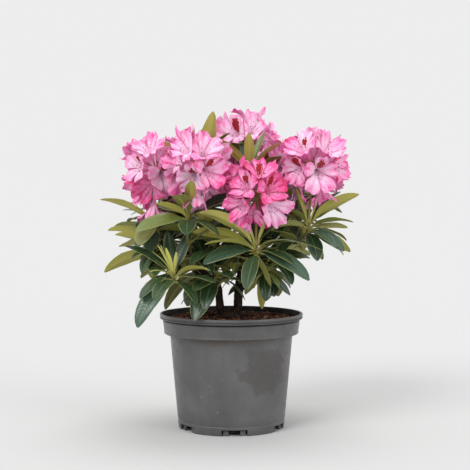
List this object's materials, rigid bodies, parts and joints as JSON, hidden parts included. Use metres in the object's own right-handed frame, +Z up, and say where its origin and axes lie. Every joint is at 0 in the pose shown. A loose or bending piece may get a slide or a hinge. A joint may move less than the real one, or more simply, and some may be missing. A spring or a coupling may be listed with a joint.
{
  "type": "potted rhododendron",
  "caption": "Evergreen flowering shrub in a round plastic nursery pot: forked woody stems, whorls of long leathery leaves and domed pink flower trusses; it stands on the pot's flat underside.",
  "frame": {"origin": "centre of the pot's flat underside", "axes": "+Z up along the pot's axis, -Y towards the viewer, +X to the viewer's right"},
  "size_m": [0.4047, 0.39, 0.5173],
  "materials": {
    "pot_plastic": "satin-matt recycled plastic, taupe grey, with a damp patch",
    "compost": "moist dark brown bark and peat crumbs, fully rough",
    "bark": "dark brown, finely fissured bark, rough",
    "leaf": "leathery, dark blue-green and satin above, olive below, with a thin pale rim",
    "petal": "soft matt, pink with deeper stripes, pale heart and a dark red blotch"
  },
  "bodies": {
    "root": {"pot": "pot_plastic", "compost": "compost", "trunk": "bark", "stem_left": "bark", "stem_right": "bark", "bough_front": "bark", "bough_left_front": "bark", "bough_left": "bark", "bough_right": "bark", "bough_right_rear": "bark", "bough_top": "bark", "bough_top_left": "bark", "bough_rear": "bark", "bough_rear_right": "bark", "bough_low_left": "bark", "bough_low_right": "bark", "leaves_front": "leaf", "leaves_left_front": "leaf", "leaves_left": "leaf", "leaves_right": "leaf", "leaves_right_rear": "leaf", "leaves_top": "leaf", "leaves_top_left": "leaf", "leaves_rear": "leaf", "leaves_rear_right": "leaf", "leaves_low_left": "leaf", "leaves_low_right": "leaf", "truss_front": "petal", "truss_left_front": "petal", "truss_left": "petal", "truss_right": "petal", "truss_right_rear": "petal", "truss_top": "petal", "truss_top_left": "petal", "truss_rear": "petal", "truss_rear_right": "petal"}
  },
  "joints": []
}
